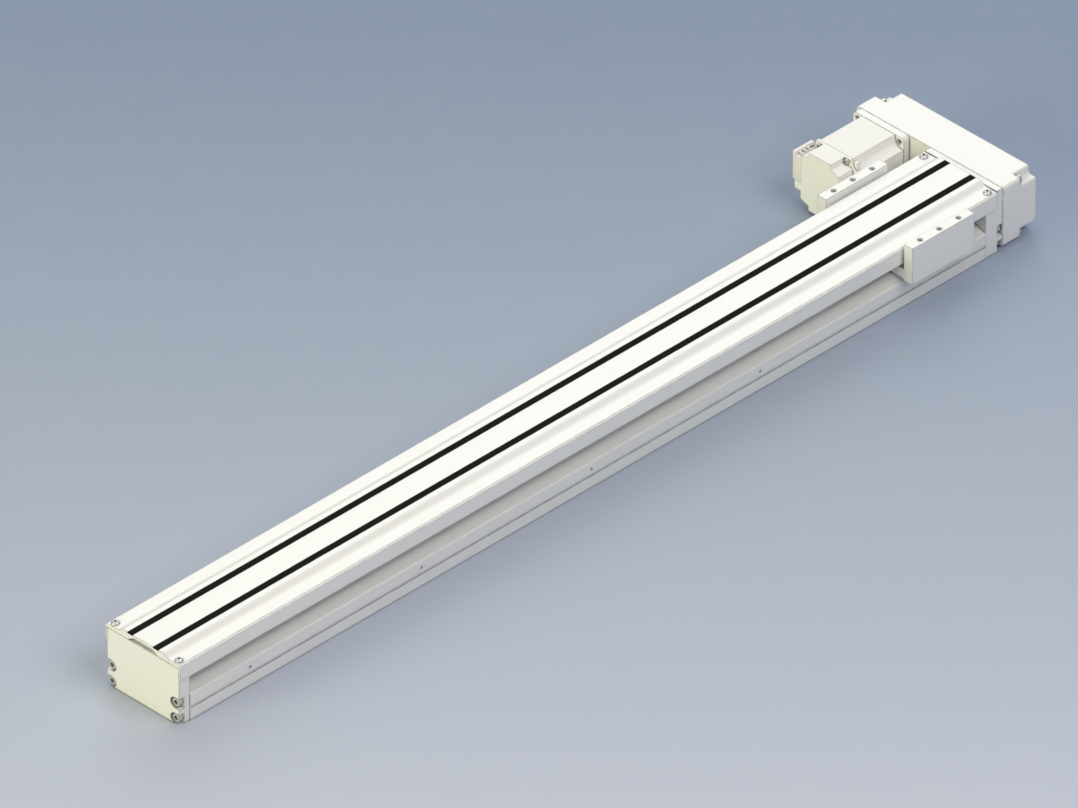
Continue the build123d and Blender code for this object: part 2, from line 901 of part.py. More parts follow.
def belt_cover_plate():
    """Lid sunk flush into the housing's rear face."""
    inset = cover_plate_rim + cover_plate_gap
    outline = stepped_outline(inset, cover_plate_round, cover_plate_round)
    plate = run_along(outline, cover_plate_front, housing_back)
    for x, z in cover_plate_places:
        plate -= screw_hole(M4, x, z, cover_plate_front, housing_back)
        plate -= head_pocket(M4_BUTTON, x, z, plate_head_seat, housing_back)
    return plate


def cover_plate_screws():
    screws = Part()
    for x, z in cover_plate_places:
        screws += along_y(x, plate_head_seat, z) * cap_screw(M4_BUTTON, plate_tap_depth)
    return screws


def housing_screws():
    screws = Part()
    for x, z in housing_screw_places:
        length = housing_seat - housing_tap_start - housing_tap_wall
        screws += along_y(x, housing_seat, z) * cap_screw(M4, length)
    return screws


def housing_long_screw():
    """Screw through the housing and the end block into the rail."""
    x, z = long_screw_place
    return along_y(x, housing_seat, z) * cap_screw(M4, housing_seat - rail_end + end_tap_reach)


# Belt drive
def toothed_pulley(x, z, bore_d):
    """Pulley with straight-sided tooth gaps."""
    pitch = 2 * math.pi / pulley_teeth
    root_radius = tip_radius - pulley_gap_depth
    outline = []
    for n in range(pulley_teeth):
        for radius, share in zip((tip_radius, root_radius), pulley_gap_share):
            half_gap = share * pitch / 2
            outline.append((radius, n * pitch - half_gap))
        for radius, share in zip((root_radius, tip_radius), reversed(pulley_gap_share)):
            half_gap = share * pitch / 2
            outline.append((radius, n * pitch + half_gap))
    teeth = area([(r * math.cos(angle), r * math.sin(angle)) for r, angle in outline])
    pulley = run_along(Pos(x, z) * teeth, pulley_start, pulley_end)
    return pulley - rod_along(x, z, bore_d + 2 * seat_fit, pulley_start, pulley_end)


def pulley_bolt(x, z):
    """Washer and screw that hold a pulley on its shaft end."""
    washer = RegularPolygon(pulley_washer_d / 2, head_sides)
    bolt = along_y(x, pulley_end, z) * extrude(washer, amount=pulley_washer_thickness)
    head_y = pulley_end + pulley_washer_thickness
    return bolt + along_y(x, head_y, z) * cap_screw(M4, pulley_bolt_length)


def timing_belt():
    """Closed belt, smooth inside so that it stands clear of the turning teeth."""
    outer = two_axis_outline(belt_inner_radius + belt_thickness)
    inner = two_axis_outline(belt_inner_radius)
    return run_along(outer - inner, belt_start, belt_end)


# Motor
def mirrored_corners(quarter):
    """Four copies of a quarter section, mirrored about the motor's axes."""
    right = quarter + mirror(quarter, about=Plane.XZ)
    return Pos(motor_x, motor_z) * both_sides(right)


def motor_body_section():
    side_z = motor_corner_side
    quarter = make_face([
        Polyline(
            (motor_body_half, side_z),
            (motor_body_half, 0),
            (0, 0),
            (0, motor_body_half),
            (motor_corner_top, motor_body_half),
            motor_corner_wall,
        ),
        ThreePointArc(motor_corner_wall, motor_corner_arc, (motor_body_half, side_z)),
    ])
    return mirrored_corners(quarter)


def motor_cap_section():
    quarter = area([
        (0, 0),
        (motor_cap_half, 0),
        (motor_cap_half, motor_cap_side_z),
        (motor_cap_mid[0], motor_cap_side_z),
        motor_cap_mid,
        (motor_cap_step_x, motor_cap_step_z),
        (motor_cap_step_x, motor_body_half),
        (0, motor_body_half),
    ])
    step = (motor_cap_step_x, motor_cap_step_z)
    quarter = fillet(nearest(quarter, *step), motor_cap_round)
    return mirrored_corners(quarter)


def motor_flange():
    square = RectangleRounded(motor_flange_size, motor_flange_size, motor_flange_round)
    flange = run_along(Pos(motor_x, motor_z) * square, motor_flange_back, housing_front)
    pilot_end = housing_front + motor_pilot_length
    flange += rod_along(motor_x, motor_z, motor_pilot_d, housing_front, pilot_end)
    for x, z in motor_screw_places:
        flange -= rod_along(x, z, motor_hole_d, motor_flange_back, housing_front)
    bore = motor_shaft_d + 2 * running_fit
    return flange - rod_along(motor_x, motor_z, bore, motor_flange_back, pilot_end)


def motor_housing():
    housing = run_along(motor_body_section(), motor_body_back, motor_flange_back)
    lug_x, lug_z = motor_lug
    quarter = box_area(0, 0, lug_x, lug_z)
    lug_end = motor_body_back + motor_lug_length
    housing += run_along(mirrored_corners(quarter), motor_body_back, lug_end)
    bore = motor_shaft_d + 2 * running_fit
    bore_start = motor_flange_back - motor_shaft_bore_depth
    housing -= rod_along(motor_x, motor_z, bore, bore_start, motor_flange_back)
    tap_end = motor_body_back + motor_tap_depth
    for dx, dz in motor_corners:
        x = motor_x + dx * motor_cap_screw[0]
        z = motor_z + dz * motor_cap_screw[1]
        housing -= screw_hole(M25, x, z, motor_body_back, tap_end)
    return housing


def motor_rear_cap():
    cap = run_along(motor_cap_section(), motor_rear, motor_cap_step)
    cap += run_along(motor_body_section(), motor_cap_step, motor_body_back)
    for dx, dz in motor_corners:
        x = motor_x + dx * motor_cap_screw[0]
        z = motor_z + dz * motor_cap_screw[1]
        cap -= screw_hole(M25, x, z, motor_cap_step, motor_body_back)
    seat = box_area(
        motor_x - connector_left - connector_seat_margin,
        motor_z + connector_low,
        motor_x - connector_right,
        motor_z + connector_high,
    )
    return cap - run_along(seat, motor_rear, motor_cap_step)


def motor_cap_screws():
    length = motor_cap_base + motor_tap_reach
    screws = Part()
    for dx, dz in motor_corners:
        x = motor_x + dx * motor_cap_screw[0]
        z = motor_z + dz * motor_cap_screw[1]
        screws += along_y(x, motor_cap_step, z, -1) * cap_screw(M25, length)
    return screws


def motor_connector():
    """Connector on the motor's far side: a shelf with pins, and a wall along its outer edge."""
    left = motor_x - connector_left
    right = motor_x - connector_right - seat_fit
    low = motor_z + connector_low
    shelf = motor_z + connector_shelf
    high = motor_z + connector_high
    wall = box_area(left, low, left + connector_wall, high)
    section = box_area(left, low, right, shelf) + wall
    for corner in ((left, low), (left, high), (right, low)):
        section = fillet(nearest(section, *corner), connector_round)
    connector = run_along(section, motor_rear, motor_cap_step - seat_fit)
    ledge = section - box_area(left - 1, low - 1, right + 1, shelf)
    return connector + run_along(ledge, motor_rear, motor_rear + connector_wall_length)


def connector_pins():
    shelf_start = motor_x - connector_left + connector_wall
    middle_x = (shelf_start + motor_x - connector_right) / 2
    middle_y = (motor_rear + motor_cap_step) / 2
    shelf = motor_z + connector_shelf
    pins = Part()
    pin = Rectangle(pin_width, pin_width)
    pitch_x, pitch_y = pin_pitch
    for dx in grid(2, pitch_x):
        for dy in grid(pin_count // 2, pitch_y):
            x = middle_x + dx
            y = middle_y + dy
            pins += upright_prism(pin, x, y, shelf, shelf + pin_height)
    return pins


def motor_shaft():
    start = motor_flange_back - motor_shaft_bore_depth + seat_gap
    shaft = rod_along(motor_x, motor_z, motor_shaft_d, start, shaft_end)
    return shaft - screw_hole(M4, motor_x, motor_z, shaft_end - shaft_tap_depth, shaft_end)


def motor_screws():
    """Screws from inside the housing's notches into the flange's threads."""
    tip = motor_flange_back + motor_screw_setback
    screws = Part()
    for x, z in motor_screw_places:
        screws += along_y(x, housing_seat, z) * cap_screw(M5, housing_seat - tip)
    return screws


pieces = {
    "base_rail": base_rail(),
    "idle_end_block": idle_end_block(),
    "drive_end_block": drive_end_block(),
    "idle_block_screws": end_block_screws(corner_places, idle_face, 1),
    "drive_block_screws": end_block_screws(drive_places, drive_face, -1),
    "top_cover": top_cover(),
    "cover_strip_right": cover_strip(1),
    "cover_strip_left": cover_strip(-1),
    "cover_screws": cover_screws(),
    "end_bumpers": bumpers(-rail_end, 1) + bumpers(rail_end, -1),
    "bearing_outer_rings": bearing_outer_rings(),
    "bearing_inner_rings": bearing_inner_rings(),
    "bearing_retainer": bearing_retainer(),
    "retainer_screws": retainer_screws(),
    "ball_screw": ball_screw(),
    "lock_nut": lock_nut(),
    "nut_block": nut_block(),
    "ball_rows": ball_rows(),
    "rear_end_cap": end_cap(cap_y_low, wing_y_low),
    "front_end_cap": end_cap(wing_y_high, cap_y_high),
    "end_cap_screws": end_cap_screws(),
    "rear_end_seal": end_seal(cap_y_low - end_seal_thickness),
    "front_end_seal": end_seal(cap_y_high),
    "carriage_saddle": carriage_saddle(),
    "saddle_screws": saddle_screws(),
    "belt_housing": belt_housing(),
    "belt_cover_plate": belt_cover_plate(),
    "cover_plate_screws": cover_plate_screws(),
    "housing_screws": housing_screws(),
    "housing_long_screw": housing_long_screw(),
    "timing_belt": timing_belt(),
    "screw_pulley": toothed_pulley(0, screw_z, pulley_journal_d),
    "screw_pulley_bolt": pulley_bolt(0, screw_z),
    "motor_pulley": toothed_pulley(motor_x, motor_z, motor_shaft_d),
    "motor_pulley_bolt": pulley_bolt(motor_x, motor_z),
    "motor_flange": motor_flange(),
    "motor_housing": motor_housing(),
    "motor_rear_cap": motor_rear_cap(),
    "motor_cap_screws": motor_cap_screws(),
    "motor_connector": motor_connector(),
    "connector_pins": connector_pins(),
    "motor_shaft": motor_shaft(),
    "motor_screws": motor_screws(),
}

os.makedirs("parts", exist_ok=True)
for name, piece in pieces.items():
    export_step(piece, f"parts/{name}.step")
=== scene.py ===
import json
import math

import bmesh
import bpy
from mathutils import Matrix, Vector


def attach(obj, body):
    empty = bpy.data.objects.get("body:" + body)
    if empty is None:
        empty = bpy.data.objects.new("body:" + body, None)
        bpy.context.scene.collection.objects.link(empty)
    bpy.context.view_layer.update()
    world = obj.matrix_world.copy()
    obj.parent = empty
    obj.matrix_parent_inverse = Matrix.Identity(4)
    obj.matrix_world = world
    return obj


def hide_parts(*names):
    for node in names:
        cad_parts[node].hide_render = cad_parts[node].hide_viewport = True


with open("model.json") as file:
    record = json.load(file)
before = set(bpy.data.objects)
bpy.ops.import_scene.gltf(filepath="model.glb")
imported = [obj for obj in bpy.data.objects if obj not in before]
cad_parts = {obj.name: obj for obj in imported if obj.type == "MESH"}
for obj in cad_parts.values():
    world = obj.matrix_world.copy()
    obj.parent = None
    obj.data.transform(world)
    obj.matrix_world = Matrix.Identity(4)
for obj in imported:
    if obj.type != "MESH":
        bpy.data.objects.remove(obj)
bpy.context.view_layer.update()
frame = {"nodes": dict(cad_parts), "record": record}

# Where the photograph was taken from, in metres and degrees
VIEW_AZIMUTH = 45.0
VIEW_ELEVATION = 35.264
VIEW_TARGET = Vector((0.0, -0.0190, 0.0734))
VIEW_WIDTH = 0.8988
LENS = 1200.0
SENSOR = 36.0
FLOOR_SIZE = 6.0
FLOOR_Z = -0.0002
# Floor colours near the camera and far from it; the darker far colour is painted shade
FLOOR_NEAR = (0.565, 0.605, 0.72)
FLOOR_FAR = (0.25, 0.32, 0.444)

# Places on the module, the same as in the part's source, in metres
SCREW_HEIGHT = 0.022
SCREW_RADIUS = 0.0075
SCREW_LEAD = 0.010
SCREW_THREAD = (-0.470, 0.474)
BEARING_JOURNAL = (0.006, 0.498)
PULLEY_JOURNAL = (0.005, 0.5157)
IDLE_SHOULDER = (0.0055, -0.4703)
IDLE_JOURNAL = (0.004, -0.4768)
WING_TOP = 0.067
WING_HOLE_X = 0.051
WING_HOLE_Y = (0.3824, 0.4054, 0.4284)
WING_HOLE_RADIUS = 0.0025
WING_HOLE_DEPTH = 0.014
WING_THREAD_PITCH = 0.001
WING_THREAD_BITE = 0.00004
WING_THREAD_WALL = 0.0002
SIDES = (-1, 1)
MOTOR_AXIS = (-0.097, 0.03225)
CONNECTOR_LOW = (-0.1288, 0.4124, 0.02705)
CONNECTOR_HIGH = (-0.11902, 0.42948, 0.0552)
CONNECTOR_SHELF = 0.05155
CONNECTOR_WALL_X = -0.1257
CONNECTOR_WALL_END = 0.436
CONNECTOR_END_ROUND = 0.0018
CONNECTOR_FOOT_FILLET = 0.0009
CONNECTOR_SOFT_EDGE = 0.0004

# Where screw heads sit: the height or the Y of a seat, and places across it
CORNER_X = 0.0375
CORNER_HEIGHTS = (0.0052, 0.0212)
IDLE_SEAT = -0.476
DRIVE_SEAT = 0.484
COVER_SEAT = 0.0617
COVER_SCREW_Y = (-0.477, 0.477)
HOUSING_SEAT = 0.511
HOUSING_SCREWS = ((0.0383, 0.0582), (-0.0376, 0.0555))
LID_SEAT = 0.5276
LID_SCREWS = ((-0.1233, 0.03225), (0.036, 0.03225), (-0.04365, 0.0555), (-0.04365, 0.009))
MOTOR_SCREW_OFFSET = 0.02475
MOTOR_CAP_SEAT = 0.4295
MOTOR_CAP_OFFSETS = (0.0163, 0.0273)
SADDLE_SEAT = 0.0358
SADDLE_MIDDLE = 0.4054
SADDLE_OFFSETS = (0.015, 0.023)

# Screws: shank diameter, head diameter, head height and width across the socket's corners
M2_5 = (0.0025, 0.0045, 0.0025, 0.0023)
M4 = (0.0040, 0.0070, 0.0040, 0.0035)
M4_BUTTON = (0.0040, 0.0076, 0.0022, 0.0029)
M5 = (0.0050, 0.0085, 0.0050, 0.0046)
HEAD_SIDES = 48
KNURL_SCALE = 0.955
BUTTON_STEPS = ((0.06, 0.30), (0.12, 0.24), (0.18, 0.16), (0.20, 0.08))
BUTTON_RIM = 0.22
CAP_SOCKET_DEPTH = 0.65
BUTTON_SOCKET_DEPTH = 0.85
SOCKET_TOOL_ABOVE = 0.001

# Directions, and what counts as the same place when a mesh is made
TO_IDLE_END = (0, -1, 0)
TO_DRIVE_END = (0, 1, 0)
UPWARDS = (0, 0, 1)
SAME_HEIGHT = 0.00002
MERGE_DISTANCE = 0.00001

# Lamps: name, place, size, power and colour
LAMPS = (
    ("lamp_above", (-1.5, 1.0, 7.0), 5.4, 104.0, (1.0, 1.0, 1.0)),
    ("lamp_behind", (-5.0, 5.0, 4.6), 5.0, 180.0, (1.0, 1.0, 1.0)),
    ("lamp_front", (-0.9, -7.4, 2.0), 4.6, 374.0, (1.0, 0.95, 0.56)),
    ("lamp_right", (4.8, 0.6, 5.7), 4.6, 240.0, (1.0, 0.955, 0.90)),
)


# Camera, lights and world
def make_camera():
    azimuth = math.radians(VIEW_AZIMUTH)
    elevation = math.radians(VIEW_ELEVATION)
    back = Vector((
        math.sin(azimuth) * math.cos(elevation),
        -math.cos(azimuth) * math.cos(elevation),
        math.sin(elevation),
    ))
    data = bpy.data.cameras.new("camera")
    data.lens = LENS
    data.sensor_width = SENSOR
    data.clip_start = 1.0
    data.clip_end = 100.0
    camera = bpy.data.objects.new("camera", data)
    camera.location = VIEW_TARGET + back * VIEW_WIDTH * LENS / SENSOR
    camera.rotation_mode = "QUATERNION"
    camera.rotation_quaternion = (-back).to_track_quat("-Z", "Y")
    bpy.context.scene.collection.objects.link(camera)
    bpy.context.scene.camera = camera


def make_light(name, place, size, energy, colour):
    """Soft square lamp that looks at the middle of the module."""
    data = bpy.data.lights.new(name, "AREA")
    data.size = size
    data.energy = energy
    data.color = colour
    lamp = bpy.data.objects.new(name, data)
    lamp.location = place
    lamp.rotation_mode = "QUATERNION"
    lamp.rotation_quaternion = (-Vector(place)).to_track_quat("-Z", "Y")
    bpy.context.scene.collection.objects.link(lamp)


def make_world():
    world = bpy.data.worlds.new("studio")
    world.use_nodes = True
    background = world.node_tree.nodes["Background"]
    background.inputs["Color"].default_value = (0.94, 0.96, 1.0, 1.0)
    background.inputs["Strength"].default_value = 0.26
    bpy.context.scene.world = world
    bpy.context.scene.view_settings.view_transform = "Standard"


# Modelling helpers
def deselect_all():
    if bpy.context.object and bpy.context.object.mode != "OBJECT":
        bpy.ops.object.mode_set(mode="OBJECT")
    bpy.ops.object.select_all(action="DESELECT")


def take_up(piece):
    """Makes a piece the only selected one."""
    deselect_all()
    piece.select_set(True)
    bpy.context.view_layer.objects.active = piece


def settle(piece, name):
    """Puts a piece's place into its mesh, so that its object sits at the origin."""
    take_up(piece)
    bpy.ops.object.transform_apply(location=True, rotation=True, scale=True)
    piece.name = name
    piece.data.name = name
    return piece


def edit(piece):
    take_up(piece)
    bpy.ops.object.mode_set(mode="EDIT")


def done():
    bpy.ops.object.mode_set(mode="OBJECT")


def pick(piece, kind, test):
    """Selects the corners, edges or faces whose middle passes the test, in edit mode."""
    bpy.ops.mesh.select_mode(type=kind)
    bpy.ops.mesh.select_all(action="DESELECT")
    mesh = bmesh.from_edit_mesh(piece.data)
    for element in {"VERT": mesh.verts, "EDGE": mesh.edges, "FACE": mesh.faces}[kind]:
        corners = [element] if kind == "VERT" else element.verts
        middle = sum((corner.co for corner in corners), Vector()) / len(corners)
        if test(middle):
            element.select_set(True)
    bmesh.update_edit_mesh(piece.data)


def near(value, target):
    return abs(value - target) < SAME_HEIGHT


def round_bar(name, radius, start, end, sides=32):
    """Upright bar between two heights, shaped further by its caller."""
    deselect_all()
    bpy.ops.mesh.primitive_cylinder_add(
        vertices=sides, radius=radius, depth=end - start, location=(0, 0, (start + end) / 2)
    )
    return settle(bpy.context.object, name)


def step_down(piece, height, inward, onward):
    """Insets the end face at a height and draws it out into a thinner stretch."""
    pick(piece, "FACE", lambda middle: near(middle.z, height))
    bpy.ops.mesh.inset(thickness=inward)
    bpy.ops.mesh.extrude_region_move(TRANSFORM_OT_translate={"value": (0, 0, onward)})


def ease_rim(piece, height, radius, amount):
    """Rounds the edge around an end face."""
    pick(
        piece, "EDGE",
        lambda middle: near(middle.z, height) and middle.xy.length > 0.96 * radius,
    )
    bpy.ops.mesh.bevel(offset=amount, segments=2, affect="EDGES")


def apply_modifiers(piece):
    take_up(piece)
    for modifier in list(piece.modifiers):
        bpy.ops.object.modifier_apply(modifier=modifier.name)


def cut_out(piece, tool):
    """Takes one piece's shape out of another, and the tool away."""
    cut = piece.modifiers.new("cut", "BOOLEAN")
    cut.operation = "DIFFERENCE"
    cut.solver = "EXACT"
    cut.object = tool
    apply_modifiers(piece)
    take_up(tool)
    bpy.ops.object.delete()


def polyline(name, points):
    """A line of edges, drawn by drawing one corner out from point to point."""
    deselect_all()
    bpy.ops.mesh.primitive_plane_add(size=0.001, location=(0, 0, 0))
    line = settle(bpy.context.object, name)
    edit(line)
    bpy.ops.mesh.select_all(action="SELECT")
    bpy.ops.mesh.merge(type="CENTER")
    bpy.ops.mesh.select_mode(type="VERT")
    bpy.ops.mesh.select_all(action="SELECT")
    here = Vector(points[0])
    bpy.ops.transform.translate(value=here)
    for point in points[1:]:
        step = Vector(point) - here
        bpy.ops.mesh.extrude_region_move(TRANSFORM_OT_translate={"value": step})
        here = Vector(point)
    done()
    return line


def wind(line, lead, turns, steps):
    """Winds a profile around local z into a right-hand thread."""
    screw = line.modifiers.new("wind", "SCREW")
    screw.axis = "Z"
    screw.angle = 2 * math.pi
    screw.screw_offset = lead
    screw.iterations = turns
    screw.steps = steps
    screw.render_steps = steps
    screw.use_merge_vertices = True
    screw.merge_threshold = MERGE_DISTANCE
    apply_modifiers(line)
    edit(line)
    bpy.ops.mesh.select_all(action="SELECT")
    bpy.ops.mesh.remove_doubles(threshold=MERGE_DISTANCE)
    bpy.ops.mesh.normals_make_consistent(inside=False)
    done()


def trim(piece, height, above):
    """Cuts the piece off flat at a height, and closes the cut."""
    edit(piece)
    bpy.ops.mesh.select_all(action="SELECT")
    bpy.ops.mesh.bisect(
        plane_co=(0, 0, height), plane_no=(0, 0, 1), use_fill=True,
        clear_outer=above, clear_inner=not above,
    )
    done()


def stand(piece, place, towards):
    """Moves a piece's local z axis to a place, along a direction."""
    turn = Vector(towards).to_track_quat("Z", "Y").to_matrix().to_4x4()
    piece.matrix_world = Matrix.Translation(place) @ turn


def copies(pattern, name, places, towards):
    """One piece made of copies of a pattern, each with its seat at a place."""
    made = []
    for place in places:
        copy = pattern.copy()
        copy.data = pattern.data.copy()
        bpy.context.scene.collection.objects.link(copy)
        stand(copy, place, towards)
        made.append(settle(copy, name))
    deselect_all()
    for copy in made:
        copy.select_set(True)
    bpy.context.view_layer.objects.active = made[0]
    if len(made) > 1:
        bpy.ops.object.join()
    return settle(bpy.context.object, name)


def finish_piece(piece, body, slot, nodes=(), angle=35.0):
    """Gives a new piece its sheen, its body and the finish of its slot, and hides the nodes that
    it stands for.
    """
    take_up(piece)
    bpy.ops.object.shade_smooth_by_angle(angle=math.radians(angle))
    piece.data.materials.clear()
    piece.data.materials.append(FINISHES[slot])
    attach(piece, body)
    if nodes:
        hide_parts(*nodes)


# Shader node groups
EDGE_SHARPNESS = 36.0
EDGE_UNWORN_SHARE = 0.22
# How far the painted shade in corners, grooves and seams reaches
CORNER_SHADE_REACH = 0.002


def new_group(name, inputs, outputs):
    """Empty group with float inputs (name, default) and typed outputs (name, type)."""
    group = bpy.data.node_groups.new(name, "ShaderNodeTree")
    for label, default in inputs:
        socket = group.interface.new_socket(label, in_out="INPUT", socket_type="NodeSocketFloat")
        socket.default_value = default
    for label, kind in outputs:
        group.interface.new_socket(label, in_out="OUTPUT", socket_type=kind)
    start = group.nodes.new("NodeGroupInput")
    end = group.nodes.new("NodeGroupOutput")
    return group, start, end


def add_node(tree, kind, values=None, **settings):
    node = tree.nodes.new(kind)
    for key, value in settings.items():
        setattr(node, key, value)
    for socket, value in (values or {}).items():
        node.inputs[socket].default_value = value
    return node


def math_node(tree, operation, first, second=None, clamp=False):
    """Math node whose inputs are sockets or plain numbers."""
    node = add_node(tree, "ShaderNodeMath", operation=operation, use_clamp=clamp)
    for index, value in enumerate((first, second)):
        if value is None:
            continue
        if isinstance(value, (int, float)):
            node.inputs[index].default_value = value
        else:
            tree.links.new(value, node.inputs[index])
    return node.outputs[0]


def object_coordinates(tree, scale=(1.0, 1.0, 1.0)):
    coordinates = add_node(tree, "ShaderNodeTexCoord")
    mapping = add_node(tree, "ShaderNodeMapping", {"Scale": scale})
    tree.links.new(coordinates.outputs["Object"], mapping.inputs["Vector"])
    return mapping.outputs["Vector"]


def noise(tree, scale, vector, detail=2.0, roughness=0.5):
    node = add_node(
        tree, "ShaderNodeTexNoise", {"Scale": scale, "Detail": detail, "Roughness": roughness}
    )
    tree.links.new(vector, node.inputs["Vector"])
    return node.outputs[0]


def make_edge_wear_group():
    """Mask that is 1 on worn outer edges, broken up along their length."""
    group, start, end = new_group(
        "edge wear",
        [("Width", 0.0004), ("Break Up", 90.0), ("Amount", 1.0)],
        [("Mask", "NodeSocketFloat")],
    )
    bevel = add_node(group, "ShaderNodeBevel", samples=6)
    group.links.new(start.outputs["Width"], bevel.inputs["Radius"])
    geometry = add_node(group, "ShaderNodeNewGeometry")
    dot = add_node(group, "ShaderNodeVectorMath", operation="DOT_PRODUCT")
    group.links.new(bevel.outputs[0], dot.inputs[0])
    group.links.new(geometry.outputs["Normal"], dot.inputs[1])
    bend = math_node(group, "SUBTRACT", 1.0, dot.outputs["Value"])
    bend = math_node(group, "MULTIPLY", bend, EDGE_SHARPNESS, clamp=True)
    patches = add_node(group, "ShaderNodeTexNoise", {"Detail": 4.0, "Roughness": 0.6})
    group.links.new(start.outputs["Break Up"], patches.inputs["Scale"])
    group.links.new(object_coordinates(group), patches.inputs["Vector"])
    patches = math_node(group, "SUBTRACT", patches.outputs[0], EDGE_UNWORN_SHARE)
    patches = math_node(group, "MULTIPLY", patches, 3.0, clamp=True)
    worn = math_node(group, "MULTIPLY", bend, patches)
    worn = math_node(group, "MULTIPLY", worn, start.outputs["Amount"], clamp=True)
    group.links.new(worn, end.inputs["Mask"])
    return group


def make_machining_group():
    """Fine lines along the module, as grinding or drawing leaves them."""
    group, start, end = new_group(
        "lines along the module",
        [("Fineness", 900.0), ("Contrast", 1.0)],
        [("Lines", "NodeSocketFloat")],
    )
    stretched = object_coordinates(group, (1.0, 0.006, 1.0))
    fine = add_node(group, "ShaderNodeTexNoise", {"Detail": 5.0, "Roughness": 0.65})
    group.links.new(start.outputs["Fineness"], fine.inputs["Scale"])
    group.links.new(stretched, fine.inputs["Vector"])
    centred = math_node(group, "SUBTRACT", fine.outputs[0], 0.5)
    centred = math_node(group, "MULTIPLY", centred, start.outputs["Contrast"])
    lines = math_node(group, "ADD", centred, 0.5, clamp=True)
    group.links.new(lines, end.inputs["Lines"])
    return group


def make_grain_group():
    """Even fine grain, as blasting, moulding or powder paint leaves it."""
    group, start, end = new_group(
        "blasted grain",
        [("Grain Size", 0.0003), ("Contrast", 1.0)],
        [("Grain", "NodeSocketFloat")],
    )
    scale = math_node(group, "DIVIDE", 1.0, start.outputs["Grain Size"])
    speckle = add_node(group, "ShaderNodeTexNoise", {"Detail": 3.0, "Roughness": 0.7})
    group.links.new(scale, speckle.inputs["Scale"])
    group.links.new(object_coordinates(group), speckle.inputs["Vector"])
    centred = math_node(group, "SUBTRACT", speckle.outputs[0], 0.5)
    centred = math_node(group, "MULTIPLY", centred, start.outputs["Contrast"])
    grain = math_node(group, "ADD", centred, 0.5, clamp=True)
    group.links.new(grain, end.inputs["Grain"])
    return group


def make_handling_group():
    """Broad soft patches where hands and cloths have changed the sheen."""
    group, start, end = new_group(
        "handling marks",
        [("Patch Size", 0.04), ("Strength", 1.0)],
        [("Patches", "NodeSocketFloat"), ("Dust", "NodeSocketFloat")],
    )
    scale = math_node(group, "DIVIDE", 1.0, start.outputs["Patch Size"])
    cloud = add_node(
        group, "ShaderNodeTexNoise", {"Detail": 5.0, "Roughness": 0.62, "Distortion": 0.6}
    )
    group.links.new(scale, cloud.inputs["Scale"])
    group.links.new(object_coordinates(group), cloud.inputs["Vector"])
    centred = math_node(group, "SUBTRACT", cloud.outputs[0], 0.5)
    patches = math_node(group, "MULTIPLY", centred, start.outputs["Strength"])
    patches = math_node(group, "ADD", patches, 0.5, clamp=True)
    group.links.new(patches, end.inputs["Patches"])
    geometry = add_node(group, "ShaderNodeNewGeometry")
    split = add_node(group, "ShaderNodeSeparateXYZ")
    group.links.new(geometry.outputs["Normal"], split.inputs[0])
    upward = math_node(group, "SUBTRACT", split.outputs["Z"], 0.6)
    upward = math_node(group, "MULTIPLY", upward, 2.5, clamp=True)
    specks = noise(group, 1400.0, object_coordinates(group), 2.0, 0.8)
    specks = math_node(group, "SUBTRACT", specks, 0.60)
    specks = math_node(group, "MULTIPLY", specks, 6.0, clamp=True)
    dust = math_node(group, "MULTIPLY", upward, specks)
    dust = math_node(group, "MULTIPLY", dust, start.outputs["Strength"], clamp=True)
    group.links.new(dust, end.inputs["Dust"])
    return group


def make_corner_shade_group():
    """Mask that is 1 deep in corners, grooves and seams, where shade is painted into the colour.
    """
    group, start, end = new_group(
        "painted shade in corners",
        [("Reach", CORNER_SHADE_REACH), ("Amount", 1.0)],
        [("Mask", "NodeSocketFloat")],
    )
    shelter = add_node(group, "ShaderNodeAmbientOcclusion", samples=6)
    group.links.new(start.outputs["Reach"], shelter.inputs["Distance"])
    closed = math_node(group, "SUBTRACT", 0.88, shelter.outputs["AO"])
    closed = math_node(group, "MULTIPLY", closed, 2.2, clamp=True)
    streaks = noise(group, 260.0, object_coordinates(group), 4.0, 0.65)
    streaks = math_node(group, "ADD", streaks, 0.35)
    closed = math_node(group, "MULTIPLY", closed, streaks)
    closed = math_node(group, "MULTIPLY", closed, start.outputs["Amount"], clamp=True)
    group.links.new(closed, end.inputs["Mask"])
    return group


EDGE_WEAR = make_edge_wear_group()
CORNER_SHADE = make_corner_shade_group()
LINES = make_machining_group()
GRAIN = make_grain_group()
HANDLING = make_handling_group()


def place_group(tree, group, **values):
    node = tree.nodes.new("ShaderNodeGroup")
    node.node_tree = group
    for label, value in values.items():
        node.inputs[label.replace("_", " ")].default_value = value
    return node


def blend_colour(tree, mask, first, second):
    """Mix of two colours, each a tuple or a colour socket, by a mask."""
    mix = add_node(tree, "ShaderNodeMix", data_type="RGBA")
    tree.links.new(mask, mix.inputs[0])
    for socket, colour in ((mix.inputs[6], first), (mix.inputs[7], second)):
        if isinstance(colour, tuple):
            socket.default_value = (*colour, 1.0)
        else:
            tree.links.new(colour, socket)
    return mix.outputs[2]


def span(tree, value, low, high):
    """Turns a 0 to 1 value into a range."""
    node = add_node(tree, "ShaderNodeMapRange", {"To Min": low, "To Max": high})
    tree.links.new(value, node.inputs["Value"])
    return node.outputs[0]


